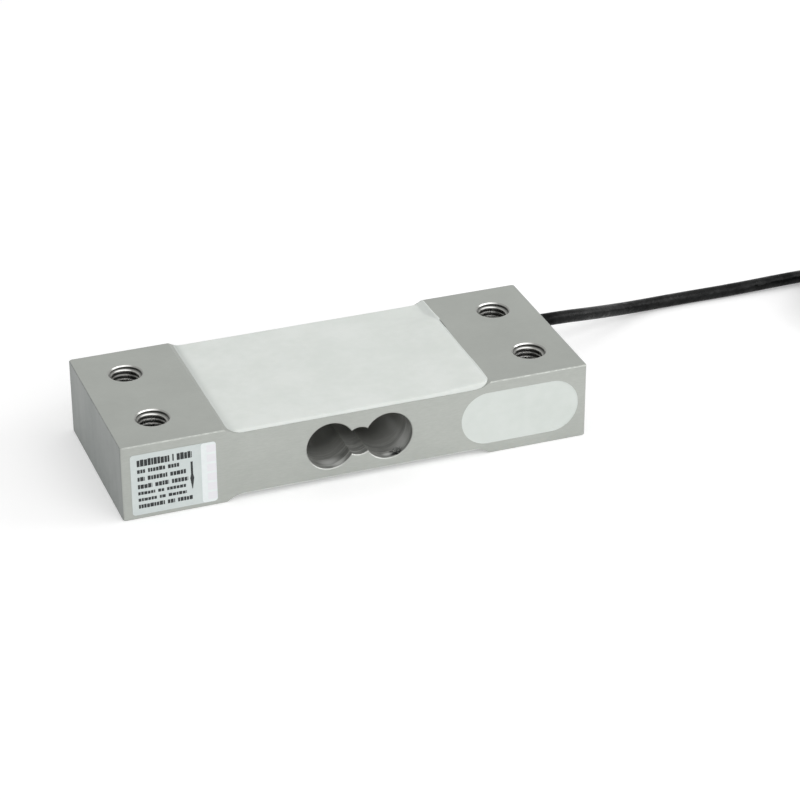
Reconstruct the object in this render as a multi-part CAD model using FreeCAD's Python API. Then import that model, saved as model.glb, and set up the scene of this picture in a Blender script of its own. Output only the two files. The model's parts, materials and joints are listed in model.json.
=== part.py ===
import FreeCAD, Part
import math
import os

# Single point load cell. Millimetres, +Z up. The origin is the centre of the body's bottom face.
# +X runs along the body towards the fixed end and its cable, -Y is the front face with the label.

V = FreeCAD.Vector
X_AXIS = V(1, 0, 0)
Y_AXIS = V(0, 1, 0)
Z_AXIS = V(0, 0, 1)

# Spring body
body_length = 150.0
body_width = 60.0
body_height = 25.0
corner_r = 1.0
edge_break = 0.3
relief_length = 85.6
relief_top_depth = 1.9
relief_bottom_depth = 2.4
relief_end_r = 10.0
bore_d = 15.5
bore_spacing = 18.6
neck_d = 9.4
bore_break = 0.25

# Tapped mounting holes, M10 x 1.5, modelled at the thread's outer diameter
thread_d = 10.0
thread_mouth_d = 10.8
hole_spacing_y = 30.0
load_hole_inset = 14.3
fixed_hole_inset = 13.4

# Wiring pockets, one in the front face and one in the back face, and the ways between them
pocket_height = 17.8
pocket_depth = 7.5
pocket_end_wall = 2.8
wire_way_d = 3.0
wire_way_end_wall = 2.8
wire_way_relief_inset = 6.8
cross_hole_d = 4.6
cross_hole_board_gap = 3.5
potting_recess = 0.1

# Sealant over the gauges
sealant_t = 0.85
sealant_side_gap = 0.25
sealant_end_gap = 0.9
sealant_corner_r = 3.5
sealant_edge_r = 0.5

# Strain gauges
carrier_length = 8.0
carrier_width = 5.0
carrier_t = 0.1
grid_length = 3.6
grid_pitch = 0.6
grid_line = 0.3
grid_lines = 6
foil_t = 0.05
tab_length = 1.2
tab_width = 1.1
tab_spacing = 1.9

# Solder terminal strips
strip_length = 11.0
strip_width = 3.6
strip_t = 0.25
strip_y = -9.0
strip_pads = 5
strip_pad_pitch = 2.1
strip_pad_size = 1.4
pad_t = 0.05
jumper_d = 0.15
jumper_lift = 0.25
bridge_wire_d = 0.3
bridge_wire_pitch = 0.5
bridge_wire_lift = 0.3
wire_bend_r = 0.5

# Trim board and its resistors
board_length = 17.0
board_height = 11.0
board_t = 1.0
board_end_gap = 4.7
board_margin = 1.3
board_pad_size = 1.2
core_pad_pitch = 2.2
bridge_pad_pitch = 2.5
bridge_pad_start = 4.5
chip_length = 3.2
chip_width = 1.6
chip_t = 0.55
chip_pitch_x = 4.5
chip_pitch_z = 3.8
chip_start = 5.6

# Cable and its inner end
cable_d = 4.3
core_d = 1.0
core_offset = 0.55
core_bend_r = 1.5
ferrule_wall = 0.4
ferrule_length = 5.0
ferrule_gap = 0.15
bush_wall = 0.85
bush_flange_wall = 2.1
bush_flange_t = 1.2
jacket_strip = 12.2
shield_length = 3.5
shield_wall = 0.3
shield_clearance = 0.07
front_core_levels = (2.9, 4.2)

# Cable outside: from the bush down onto the floor and along it to the coil
coil_centre_x = 215.0
coil_turns_radial = 4
coil_layers = 2
coil_turn_pitch = 4.4
coil_mid_r = 24.9
coil_stub = 18.0
cable_lane_y = 41.5

# Tie, cable end and leads
tie_width = 3.2
tie_t = 0.6
tie_clearance = 0.1
tie_angle = -65.0
tie_twist_d = 1.6
tie_twist_length = 12.0
ramp_start_angle = 210.0
tail_start_angle = 168.0
tail_end_angle = 86.0
sleeve_wall = 0.35
sleeve_length = 9.0
lead_d = 1.0
lead_offset = 0.7
drain_d = 0.6
lead_start = 4.0
lead_angle = 60.0
lead_shares = (0.28, 0.54, 0.78, 1.0)
lead_fan = 2.7
tip_d = 0.5
tip_length = 5.0

# Rating label
label_length = 26.5
label_height = 20.5
label_t = 0.12
label_corner_r = 1.0
label_inset = 2.9
label_base = 1.45

# Values that follow from the sizes above
half_length = body_length / 2
half_width = body_width / 2
top_floor = body_height - relief_top_depth
bottom_floor = relief_bottom_depth
bore_r = bore_d / 2
bore_z = (top_floor + bottom_floor) / 2
bore_x = bore_spacing / 2
load_hole_x = -half_length + load_hole_inset
fixed_hole_x = half_length - fixed_hole_inset
pocket_z = body_height / 2
pocket_end_x = half_length - pocket_end_wall
wire_way_x = relief_length / 2 - wire_way_relief_inset
pocket_start_x = wire_way_x - wire_way_end_wall
pocket_floor = half_width - pocket_depth
wire_way_y = -(half_width + pocket_floor) / 2
cable_r = cable_d / 2
cable_y = pocket_floor + cable_r + ferrule_wall + ferrule_gap
cable_z = pocket_z
bush_face_x = half_length + bush_flange_t
jacket_end_x = pocket_end_x - jacket_strip
board_x = pocket_end_x - board_end_gap - board_length
cross_hole_x = board_x - cross_hole_board_gap
board_z = pocket_z - board_height / 2
board_face = -(pocket_floor + board_t)
coil_z = tie_t + tie_clearance
coil_height = coil_layers * coil_turn_pitch
coil_outer_r = coil_mid_r + coil_turns_radial * coil_turn_pitch / 2
coil_inner_r = coil_mid_r - coil_turns_radial * coil_turn_pitch / 2
coil_top = coil_z + coil_height
coil_entry_r = coil_outer_r - coil_turn_pitch / 2
coil_centre = V(coil_centre_x, cable_lane_y - coil_entry_r, 0)
coil_entry_z = coil_z + coil_turn_pitch / 2
tail_z = coil_top + cable_r + sleeve_wall

# The cable's free route from the bush to the coil's first turn, chosen by hand
cable_route = [
    V(bush_face_x, cable_y, cable_z),
    V(89.0, cable_y, cable_z),
    V(101.0, 28.5, 10.1),
    V(113.6, 35.4, 5.9),
    V(126.0, 40.9, 2.7),
    V(140.0, 42.1, 2.2),
    V(161.0, 41.9, 2.15),
    V(182.0, cable_lane_y, coil_entry_z),
    V(coil_centre_x - coil_stub, cable_lane_y, coil_entry_z),
]


def box(x0, x1, y0, y1, z0, z1):
    return Part.makeBox(x1 - x0, y1 - y0, z1 - z0, V(x0, y0, z0))


def bent_path(points, largest=None):
    """Straight runs joined by arcs, as large as the runs or the given radius allow, and their radii."""
    edges = []
    radii = []
    here = points[0]
    for before, corner, after in zip(points, points[1:], points[2:]):
        into = corner.sub(before)
        out = after.sub(corner)
        turn = into.getAngle(out)
        reach = 0.45 * min(into.Length, out.Length)
        if largest:
            reach = min(reach, largest * math.tan(turn / 2))
        radii.append(reach / math.tan(turn / 2))
        a = V(into)
        a.normalize()
        b = V(out)
        b.normalize()
        start = corner.sub(V(a).multiply(reach))
        end = corner.add(V(b).multiply(reach))
        towards = V(b).sub(a)
        towards.normalize()
        middle = corner.add(towards.multiply(radii[-1] * (1 / math.cos(turn / 2) - 1)))
        edges.append(Part.LineSegment(here, start).toShape())
        edges.append(Part.Arc(start, middle, end).toShape())
        here = end
    edges.append(Part.LineSegment(here, points[-1]).toShape())
    return Part.Wire(edges), radii


def tube_along(path, diameter):
    """A round solid swept along a smooth wire."""
    first = path.OrderedEdges[0]
    start = first.valueAt(first.FirstParameter)
    direction = first.tangentAt(first.FirstParameter)
    section = Part.Face(Part.Wire([Part.makeCircle(diameter / 2, start, direction)]))
    return path.makePipe(section)


def tube(points, diameter, largest=None):
    return tube_along(bent_path(points, largest)[0], diameter)


def obround(x0, x1, z, height, y0, y1):
    """A slot-shaped prism along Y, with its round ends at x0 and x1."""
    r = height / 2
    top = Part.LineSegment(V(x0 + r, y0, z + r), V(x1 - r, y0, z + r))
    right = Part.Arc(V(x1 - r, y0, z + r), V(x1, y0, z), V(x1 - r, y0, z - r))
    low = Part.LineSegment(V(x1 - r, y0, z - r), V(x0 + r, y0, z - r))
    left = Part.Arc(V(x0 + r, y0, z - r), V(x0, y0, z), V(x0 + r, y0, z + r))
    wire = Part.Wire([curve.toShape() for curve in (top, right, low, left)])
    return Part.Face(wire).extrude(V(0, y1 - y0, 0))


def relief_run(depth):
    """How far along X the round end of a relief takes to climb from its floor to the pad."""
    return math.sqrt(relief_end_r**2 - (relief_end_r - depth) ** 2)


def relief(face_z, depth, out):
    """The space milled from the top (out 1) or bottom (out -1), with round ends, across the whole width."""
    half = relief_length / 2
    floor = face_z - out * depth
    tangent = half - relief_run(depth)
    bend = math.acos((relief_end_r - depth) / relief_end_r) / 2
    mid_x = tangent + relief_end_r * math.sin(bend)
    mid_z = floor + out * relief_end_r * (1 - math.cos(bend))
    y = -half_width
    over = face_z + out
    corners = [V(half, y, face_z), V(half, y, over), V(-half, y, over), V(-half, y, face_z)]
    edges = [
        Part.LineSegment(V(-tangent, y, floor), V(tangent, y, floor)),
        Part.Arc(V(tangent, y, floor), V(mid_x, y, mid_z), corners[0]),
        Part.LineSegment(corners[0], corners[1]),
        Part.LineSegment(corners[1], corners[2]),
        Part.LineSegment(corners[2], corners[3]),
        Part.Arc(corners[3], V(-mid_x, y, mid_z), V(-tangent, y, floor)),
    ]
    wire = Part.Wire([e.toShape() for e in edges])
    return Part.Face(wire).extrude(V(0, body_width, 0))


def along_z(edge):
    return abs(edge.tangentAt(edge.FirstParameter).z) > 0.99


def in_plane(edge, z):
    box_of = edge.BoundBox
    return abs(box_of.ZMin - z) < 1e-6 and abs(box_of.ZMax - z) < 1e-6


def tapped_hole(x, y):
    """One mounting hole through the body, with a 90 degree mouth at each face."""
    r = thread_d / 2
    mouth = thread_mouth_d / 2
    depth = mouth - r
    hole = Part.makeCylinder(r, body_height, V(x, y, 0), Z_AXIS)
    low = Part.makeCone(mouth, r, depth, V(x, y, 0), Z_AXIS)
    high = Part.makeCone(r, mouth, depth, V(x, y, body_height - depth), Z_AXIS)
    return hole.fuse([low, high])


def binocular_bore():
    """Two large bores joined by a smaller one, right through the width, with broken edges."""
    tools = []
    for x, r in ((-bore_x, bore_r), (0.0, neck_d / 2), (bore_x, bore_r)):
        tools.append(Part.makeCylinder(r, body_width, V(x, -half_width, bore_z), Y_AXIS))
        tools.append(Part.makeCone(r + bore_break, r, bore_break, V(x, -half_width, bore_z), Y_AXIS))
        back = V(x, half_width - bore_break, bore_z)
        tools.append(Part.makeCone(r, r + bore_break, bore_break, back, Y_AXIS))
    return tools[0].fuse(tools[1:])


def pocket(side):
    """The wiring pocket in the front (side -1) or back (side 1) face."""
    y0, y1 = sorted((side * pocket_floor, side * half_width))
    return obround(pocket_start_x, pocket_end_x, pocket_z, pocket_height, y0, y1)


def wire_way():
    return Part.makeCylinder(wire_way_d / 2, body_height, V(wire_way_x, wire_way_y, 0), Z_AXIS)


def cross_hole():
    start = V(cross_hole_x, -pocket_floor, pocket_z)
    return Part.makeCylinder(cross_hole_d / 2, 2 * pocket_floor, start, Y_AXIS)


def bush_hole():
    start = V(pocket_end_x - pocket_end_wall, cable_y, cable_z)
    return Part.makeCylinder(cable_r + bush_wall, 2 * pocket_end_wall, start, X_AXIS)


def spring_body():
    block = box(-half_length, half_length, -half_width, half_width, 0, body_height)
    block = block.makeFillet(corner_r, [e for e in block.Edges if along_z(e)])
    rims = [e for e in block.Edges if in_plane(e, 0) or in_plane(e, body_height)]
    block = block.makeChamfer(edge_break, rims)
    tools = [relief(body_height, relief_top_depth, 1), relief(0, relief_bottom_depth, -1)]
    tools += [pocket(-1), pocket(1), wire_way(), cross_hole(), bush_hole(), binocular_bore()]
    for x in (load_hole_x, fixed_hole_x):
        for side in (-1, 1):
            tools.append(tapped_hole(x, side * hole_spacing_y / 2))
    for tool in tools:
        block = block.cut(tool)
    return block


def gauge_carrier(side, floor, out):
    z0, z1 = sorted((floor, floor + out * carrier_t))
    x = side * bore_x
    half = carrier_length / 2
    return box(x - half, x + half, -carrier_width / 2, carrier_width / 2, z0, z1)


def gauge_grid(side, floor, out):
    """The etched foil: lines along X, joined in turn at their ends, and two solder tabs."""
    z0, z1 = sorted((floor + out * carrier_t, floor + out * (carrier_t + foil_t)))
    far = side * (bore_x + carrier_length / 2 - tab_length / 2)
    near = far - side * grid_length
    parts = []
    first = -(grid_lines - 1) * grid_pitch / 2
    for i in range(grid_lines):
        y = first + i * grid_pitch
        x0, x1 = sorted((near, far))
        parts.append(box(x0, x1, y - grid_line / 2, y + grid_line / 2, z0, z1))
        if i < grid_lines - 1:
            end = far if i % 2 == 0 else near
            inner = end - side * grid_line if end == far else end + side * grid_line
            x0, x1 = sorted((end, inner))
            parts.append(box(x0, x1, y - grid_line / 2, y + grid_pitch + grid_line / 2, z0, z1))
    for turn in (-1, 1):
        y = turn * tab_spacing / 2
        line_y = turn * first
        tab = tab_x(side)
        x0, x1 = sorted((tab - side * tab_length / 2, tab + side * tab_length / 2))
        parts.append(box(x0, x1, y - tab_width / 2, y + tab_width / 2, z0, z1))
        x0, x1 = sorted((tab, near))
        lo, hi = sorted((abs(line_y), abs(line_y) - grid_line))
        y0, y1 = sorted((-turn * -lo, -turn * -hi))
        parts.append(box(x0, x1, y0, y1, z0, z1))
    return parts[0].fuse(parts[1:]).removeSplitter()


def tab_x(side):
    return side * (bore_x - carrier_length / 2 + tab_length)


def strip_pad_x(i):
    return (i - (strip_pads - 1) / 2) * strip_pad_pitch


def terminal_strip(floor, out):
    z0, z1 = sorted((floor, floor + out * strip_t))
    half = strip_length / 2
    return box(-half, half, strip_y - strip_width / 2, strip_y + strip_width / 2, z0, z1)


def terminal_pads(floor, out):
    z0, z1 = sorted((floor + out * strip_t, floor + out * (strip_t + pad_t)))
    half = strip_pad_size / 2
    tall = strip_width / 2 - 0.3
    pads = []
    for i in range(strip_pads):
        x = strip_pad_x(i)
        pads.append(box(x - half, x + half, strip_y - tall, strip_y + tall, z0, z1))
    return Part.makeCompound(pads)


def gauge_jumpers(floor, out):
    """Four fine wires from the gauges' tabs to the strip's outer pads."""
    tab_top = floor + out * (carrier_t + foil_t)
    pad_top = floor + out * (strip_t + pad_t)
    over = pad_top + out * jumper_lift
    reach = strip_width / 4
    wires = []
    for side, turn, pad in ((-1, -1, 0), (-1, 1, 1), (1, 1, 3), (1, -1, 4)):
        x = tab_x(side)
        y = turn * tab_spacing / 2
        px = strip_pad_x(pad)
        route = [V(x, y, tab_top), V(x, y, over), V(px, strip_y + reach, over)]
        route.append(V(px, strip_y + reach, pad_top))
        wires.append(tube(route, jumper_d))
    return Part.makeCompound(wires)


def board_pad_places():
    """Where wires land on the trim board, as (x, z): the cable's cores, then the top and bottom bridges."""
    core_x = board_x + board_margin
    cores = [(core_x, pocket_z + (i - 1.5) * core_pad_pitch) for i in range(4)]
    rows = []
    for out in (1, -1):
        z = pocket_z + out * (board_height / 2 - board_margin)
        rows.append([(board_x + bridge_pad_start + i * bridge_pad_pitch, z) for i in range(4)])
    return cores, rows[0], rows[1]


def bridge_wires(floor, out):
    """Four wires from the strip, through the wire way, to the trim board."""
    pad_top = floor + out * (strip_t + pad_t)
    over = pad_top + out * bridge_wire_lift
    reach = strip_width / 4
    pads = [0, 1, 3, 4]
    landing = board_pad_places()[1 if out > 0 else 2]
    z_row = landing[0][1]
    across = V(strip_y - wire_way_y, wire_way_x, 0)
    across.normalize()
    wires = []
    for i in range(4):
        px = strip_pad_x(pads[i])
        shift = V(across).multiply((i - 1.5) * bridge_wire_pitch)
        x = wire_way_x + shift.x
        y = wire_way_y + shift.y
        end_x, end_z = landing[3 - i]
        route = [V(px, strip_y - reach, pad_top), V(px, strip_y - reach, over), V(x, y, over)]
        route += [V(x, y, z_row), V(end_x, y, end_z), V(end_x, board_face - pad_t, end_z)]
        wires.append(tube(route, bridge_wire_d, wire_bend_r))
    return Part.makeCompound(wires)


def trim_board():
    x1 = board_x + board_length
    return box(board_x, x1, board_face, -pocket_floor, board_z, board_z + board_height)


def trim_board_pads():
    half = board_pad_size / 2
    cores, top, bottom = board_pad_places()
    y1 = board_face
    pads = []
    for x, z in cores + top + bottom:
        pads.append(box(x - half, x + half, y1 - pad_t, y1, z - half, z + half))
    return Part.makeCompound(pads)


def chip(column, row):
    """A chip resistor with its caps, lying on the board."""
    x = board_x + chip_start + column * chip_pitch_x
    z = pocket_z + row * chip_pitch_z / 2
    half_l, half_w = (chip_length / 2, chip_width / 2)
    if row == 0:
        half_l, half_w = half_w, half_l
    return box(x - half_l, x + half_l, board_face - chip_t, board_face, z - half_w, z + half_w)


def core_route(across, up, level, pad):
    """One core, from the stripped jacket through the cross hole to its pad on the board."""
    y = cable_y + across
    z = cable_z + up
    x = cross_hole_x - across
    front = -(pocket_floor + level)
    px, pz = pad
    route = [V(jacket_end_x, y, z), V(x, y, z), V(x, front, z)]
    route += [V(px, front, pz), V(px, board_face - pad_t, pz)]
    return route


def cores():
    pads = board_pad_places()[0]
    near, far = front_core_levels
    o = core_offset
    routes = {
        "core_red": core_route(o, o, far, pads[3]),
        "core_black": core_route(-o, o, near, pads[2]),
        "core_green": core_route(-o, -o, near, pads[1]),
        "core_white": core_route(o, -o, far, pads[0]),
    }
    return {name: tube(route, core_d, core_bend_r) for name, route in routes.items()}


def on_cable(x0, x1, r):
    return Part.makeCylinder(r, x1 - x0, V(x0, cable_y, cable_z), X_AXIS)


def cable_inlet():
    return on_cable(jacket_end_x, bush_face_x, cable_r)


def cable_ferrule():
    x1 = pocket_end_x - ferrule_gap
    x0 = x1 - ferrule_length
    return on_cable(x0, x1, cable_r + ferrule_wall).cut(on_cable(x0, x1, cable_r))


def cable_shield():
    inner = core_offset * math.sqrt(2) + core_d / 2 + shield_clearance
    x0 = jacket_end_x - shield_length
    outer = on_cable(x0, jacket_end_x, inner + shield_wall)
    return outer.cut(on_cable(x0, jacket_end_x, inner))


def cable_bush():
    barrel = on_cable(pocket_end_x, half_length, cable_r + bush_wall)
    flange = on_cable(half_length, bush_face_x, cable_r + bush_flange_wall)
    bush = barrel.fuse(flange).removeSplitter()
    return bush.cut(on_cable(pocket_end_x, bush_face_x, cable_r))


def sealant(face_z, depth, out, buried):
    """Silicone spread over a relief's floor, with soft edges, cut round what it covers."""
    floor = face_z - out * depth
    z0, z1 = sorted((floor, floor + out * sealant_t))
    x = relief_length / 2 - sealant_end_gap
    y = half_width - sealant_side_gap
    slab = box(-x, x, -y, y, z0, z1)
    slab = slab.makeFillet(sealant_corner_r, [e for e in slab.Edges if along_z(e)])
    skin = floor + out * sealant_t
    slab = slab.makeFillet(sealant_edge_r, [e for e in slab.Edges if in_plane(e, skin)])
    return slab.common(relief(face_z, depth, out)).cut(buried)


def front_potting(buried):
    fill = pocket(-1)
    skin = half_width - potting_recess
    fill = fill.cut(box(pocket_start_x, pocket_end_x, -half_width, -skin, 0, body_height))
    way = wire_way().common(box(0, half_length, -half_width, 0, bottom_floor, top_floor))
    return fill.fuse(way).removeSplitter().cut(buried)


def rear_potting(buried):
    fill = pocket(1)
    skin = half_width - potting_recess
    fill = fill.cut(box(pocket_start_x, pocket_end_x, skin, half_width, 0, body_height))
    return fill.cut(buried)


def around(r, angle, z):
    """A point at that radius, angle in degrees and height about the coil's centre."""
    a = math.radians(angle)
    return coil_centre.add(V(r * math.cos(a), r * math.sin(a), z))


def coil_ring(grow):
    """The wound turns' outer shape: a ring with soft edges. grow moves its skin out."""
    r0 = coil_inner_r - grow
    r1 = coil_outer_r + grow
    z0 = coil_z - grow
    z1 = coil_top + grow
    soft = cable_r + grow
    ring = Part.makeCylinder(r1, z1 - z0, coil_centre.add(V(0, 0, z0)), Z_AXIS)
    ring = ring.cut(Part.makeCylinder(r0, z1 - z0, coil_centre.add(V(0, 0, z0)), Z_AXIS))
    rims = [e for e in ring.Edges if in_plane(e, z0) or in_plane(e, z1)]
    return ring.makeFillet(soft, rims)


def tail_route():
    """The last turn climbs from the upper layer, inwards, onto the coil and lies along its middle."""
    upper = coil_top - coil_turn_pitch / 2
    climb = 3
    along = 5
    points = []
    for i in range(climb):
        share = i / climb
        angle = ramp_start_angle + share * (tail_start_angle - ramp_start_angle)
        r = coil_entry_r + share * (coil_mid_r - coil_entry_r)
        points.append(around(r, angle, upper + share * (tail_z - upper)))
    for i in range(along + 1):
        angle = tail_start_angle + i / along * (tail_end_angle - tail_start_angle)
        points.append(around(coil_mid_r, angle, tail_z))
    return points


def cable_coil():
    entry = Part.makeCylinder(
        cable_r, coil_stub, V(coil_centre_x - coil_stub, cable_lane_y, coil_entry_z), X_AXIS
    )
    return coil_ring(0).fuse(entry)


def coil_tie():
    """A ribbon round the turns, with its two ends twisted together above them."""
    skin = coil_ring(tie_clearance + tie_t).cut(coil_ring(tie_clearance))
    direction = around(1, tie_angle, 0).sub(coil_centre)
    turned = FreeCAD.Rotation(Z_AXIS, tie_angle)
    sector = box(0, coil_outer_r + tie_t + 1, -tie_width / 2, tie_width / 2, -tie_t, body_height)
    sector.Placement = FreeCAD.Placement(coil_centre, turned).multiply(sector.Placement)
    band = skin.common(sector)
    foot = around(coil_mid_r, tie_angle, coil_top + tie_clearance + tie_t / 2)
    lean = V(direction).add(V(0, 0, 0.9))
    lean.normalize()
    twist = Part.makeCylinder(tie_twist_d / 2, tie_twist_length, foot, lean)
    above = coil_centre.add(V(0, 0, coil_top + tie_clearance))
    over = Part.makeCylinder(coil_outer_r, 2 * tie_twist_length, above)
    return band.fuse(twist.common(over)).removeSplitter()


def off_tail(ahead, across, up):
    """A point beyond the tail's end: ahead along it, outwards across it, and up."""
    before, end = tail_route()[-2:]
    forward = end.sub(before)
    forward.normalize()
    outward = Z_AXIS.cross(forward)
    return end.add(forward.multiply(ahead)).add(outward.multiply(across)).add(V(0, 0, up))


def end_sleeve():
    start = off_tail(0, 0, 0)
    forward = off_tail(1, 0, 0).sub(start)
    return Part.makeCylinder(cable_r + sleeve_wall, sleeve_length, start, forward)


def lead_route(across, up, fan, heights, diameter):
    """A lead leaves the sleeve straight, then drops onto the turns and lies there, fanned out."""
    low = coil_top + diameter / 2
    route = [off_tail(sleeve_length, across, up), off_tail(sleeve_length + lead_start, across, up)]
    start = route[-1].sub(coil_centre)
    angle = math.degrees(math.atan2(start.y, start.x))
    r = math.hypot(start.x, start.y)
    for share, high in zip(lead_shares, heights):
        here = r + (coil_mid_r + fan - r) * share
        route.append(around(here, angle - lead_angle * share, low + high * (tail_z - low)))
    return route


def leads():
    """Four insulated leads, with their tinned tips. The lower pair drops first."""
    o = lead_offset
    lower = (0.12, 0.0, 0.0, 0.0)
    upper = (0.95, 0.35, 0.0, 0.0)
    routes = {
        "lead_red": lead_route(o, o, 2.4 * lead_fan, upper, lead_d),
        "lead_black": lead_route(-o, o, -0.8 * lead_fan, upper, lead_d),
        "lead_green": lead_route(-o, -o, -2.4 * lead_fan, lower, lead_d),
        "lead_white": lead_route(o, -o, 0.8 * lead_fan, lower, lead_d),
    }
    made = {name: tube(route, lead_d) for name, route in routes.items()}
    tips = []
    for route in routes.values():
        along = route[-1].sub(route[-2])
        tips.append(Part.makeCylinder(tip_d / 2, tip_length, route[-1], along))
    made["lead_tips"] = Part.makeCompound(tips)
    return made


def shield_drain():
    return tube(lead_route(0, 0, 0, (0.4, 0.05, 0.0, 0.0), drain_d), drain_d)


def rating_label():
    x0 = -half_length + label_inset
    y0 = -half_width - label_t
    plate = box(x0, x0 + label_length, y0, -half_width, label_base, label_base + label_height)
    corners = [e for e in plate.Edges if abs(e.tangentAt(e.FirstParameter).y) > 0.99]
    return plate.makeFillet(label_corner_r, corners)


def build():
    made = {}
    buried = {1: [], -1: []}
    names = {1: "top", -1: "bottom"}
    for out, floor in ((1, top_floor), (-1, bottom_floor)):
        place = names[out]
        for side, end in ((-1, "load"), (1, "fixed")):
            made[f"gauge_carrier_{place}_{end}"] = gauge_carrier(side, floor, out)
            made[f"gauge_grid_{place}_{end}"] = gauge_grid(side, floor, out)
        made[f"terminal_strip_{place}"] = terminal_strip(floor, out)
        made[f"terminal_pads_{place}"] = terminal_pads(floor, out)
        made[f"gauge_jumpers_{place}"] = gauge_jumpers(floor, out)
        made[f"bridge_wires_{place}"] = bridge_wires(floor, out)
        buried[out] = [shape for name, shape in made.items() if place in name]
    made["trim_board"] = trim_board()
    made["trim_board_pads"] = trim_board_pads()
    chips = {
        "span_resistor_a": chip(0, 1),
        "span_resistor_b": chip(1, 1),
        "zero_resistor": chip(0, -1),
        "zero_drift_resistor": chip(1, -1),
        "input_resistor": chip(2, 0),
    }
    made.update(chips)
    made.update(cores())
    made["cable_inlet"] = cable_inlet()
    made["cable_ferrule"] = cable_ferrule()
    made["cable_shield"] = cable_shield()
    made["cable_bush"] = cable_bush()
    wires = [made["bridge_wires_top"], made["bridge_wires_bottom"]]
    wires += [made[name] for name in made if name.startswith("core_")]
    in_front = [made["trim_board"], made["trim_board_pads"], *chips.values(), *wires]
    in_rear = [made[name] for name in ("cable_inlet", "cable_ferrule", "cable_shield")]
    in_rear += [made[name] for name in made if name.startswith("core_")]
    made["top_sealant"] = sealant(body_height, relief_top_depth, 1, buried[1])
    made["bottom_sealant"] = sealant(0, relief_bottom_depth, -1, buried[-1])
    made["front_potting"] = front_potting(in_front)
    made["rear_potting"] = rear_potting(in_rear)
    made["spring_body"] = spring_body()
    made["rating_label"] = rating_label()
    path, radii = bent_path(cable_route)
    made["cable_run"] = tube_along(path, cable_d)
    print("cable_run radii", [round(r, 1) for r in radii], "length", round(path.Length, 1))
    section = math.pi * cable_r**2
    print("cable_run volume over section x length", made["cable_run"].Volume / (section * path.Length))
    made["cable_coil"] = cable_coil()
    path, radii = bent_path(tail_route())
    print("cable_tail radii", [round(r, 1) for r in radii], "length", round(path.Length, 1))
    made["cable_tail"] = tube_along(path, cable_d).cut(coil_ring(0))
    made["coil_tie"] = coil_tie()
    made["end_sleeve"] = end_sleeve()
    made.update(leads())
    made["shield_drain"] = shield_drain()
    return made


os.makedirs("parts", exist_ok=True)
for name, shape in build().items():
    shape.exportStep(f"parts/{name}.step")
    print(name, len(shape.Solids), round(shape.Volume, 3), shape.isValid())
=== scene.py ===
import json
import math
import random

import bpy
from mathutils import Matrix, Vector, noise


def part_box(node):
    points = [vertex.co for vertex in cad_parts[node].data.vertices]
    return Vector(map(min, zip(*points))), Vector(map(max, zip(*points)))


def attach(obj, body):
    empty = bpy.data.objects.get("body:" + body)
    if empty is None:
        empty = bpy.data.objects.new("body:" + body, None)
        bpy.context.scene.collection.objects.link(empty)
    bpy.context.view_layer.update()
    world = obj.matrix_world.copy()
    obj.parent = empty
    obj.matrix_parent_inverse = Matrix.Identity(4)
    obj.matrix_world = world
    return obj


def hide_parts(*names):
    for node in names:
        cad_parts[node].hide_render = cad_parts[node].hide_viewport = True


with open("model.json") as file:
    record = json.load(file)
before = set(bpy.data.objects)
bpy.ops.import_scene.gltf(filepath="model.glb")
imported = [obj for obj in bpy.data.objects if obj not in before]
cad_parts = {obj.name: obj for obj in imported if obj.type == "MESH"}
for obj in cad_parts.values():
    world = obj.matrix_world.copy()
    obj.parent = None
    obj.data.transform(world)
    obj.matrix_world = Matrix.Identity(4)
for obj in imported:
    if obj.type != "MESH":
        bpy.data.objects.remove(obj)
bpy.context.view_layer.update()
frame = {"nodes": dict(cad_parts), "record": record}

# Single point load cell: the finish of its machined body, silicone, label, threads, cable and coil.
# Metres, in the frame of the part: +X towards the cable, -Y out of the labelled face, +Z up.

MM = 0.001
FULL = 2 * math.pi

# Places read from the frame
body_low, body_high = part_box("spring_body")
top_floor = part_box("gauge_carrier_top_load")[0].z
bottom_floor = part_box("gauge_carrier_bottom_load")[1].z
label_low, label_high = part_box("rating_label")
pocket_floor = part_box("rear_potting")[0].y
bush_low, bush_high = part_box("cable_bush")
coil_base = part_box("cable_coil")[0].z
half_width = body_high.y
bore_z = (top_floor + bottom_floor) / 2

# Sizes of the part that its box doesn't tell
relief_half = 42.8 * MM
silicone_left = -(relief_half - 1.35 * MM)
relief_end_r = 10.0 * MM
bore_x = 9.3 * MM
bore_r = 7.75 * MM
neck_r = 4.7 * MM
thread_r = 5.0 * MM
thread_crest_r = 4.25 * MM
thread_pitch = 1.5 * MM
thread_mouth = 0.4 * MM
mouth_r = 5.42 * MM
load_hole_x = -60.7 * MM
fixed_hole_x = 61.6 * MM
hole_y = 15.0 * MM
pocket_start_x = 33.2 * MM
pocket_end_x = 72.2 * MM
pocket_z = 12.5 * MM
pocket_height = 17.8 * MM
cable_d = 4.3 * MM
cable_r = cable_d / 2


def new_object(name, data):
    made = bpy.data.objects.new(name, data)
    bpy.context.scene.collection.objects.link(made)
    return made


def join_root(piece, slot, *stands_for):
    """Rides on the one body and stands for the solids it replaces; its slot argument is not used."""
    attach(piece, "root")
    if stands_for:
        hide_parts(*stands_for)
    return piece


# ---- Camera, floor and light ----

camera_azimuth = math.radians(-20.337)
camera_elevation = math.radians(28.791)
camera_roll = math.radians(-0.131)
camera_distance = 0.87454
camera_right = 0.022589
camera_down = 0.000811
camera_sensor = 36.0
camera_lens = 125.705

# Each lamp's name, place, aim, width and height, and its power in watts
lamps = [
    ("lamp_over", (0.05, 0.15, 0.95), (0.03, 0, 0), 1.1, 0.9, 1.0),
    ("lamp_front", (0.3, -0.95, 0.75), (0, 0, 0.01), 1.3, 1.0, 5.6),
    ("lamp_right", (1.0, -0.25, 0.55), (0.02, 0, 0.01), 0.5, 0.6, 3.0),
]
world_light = 0.6
floor_half = 3.0


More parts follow.
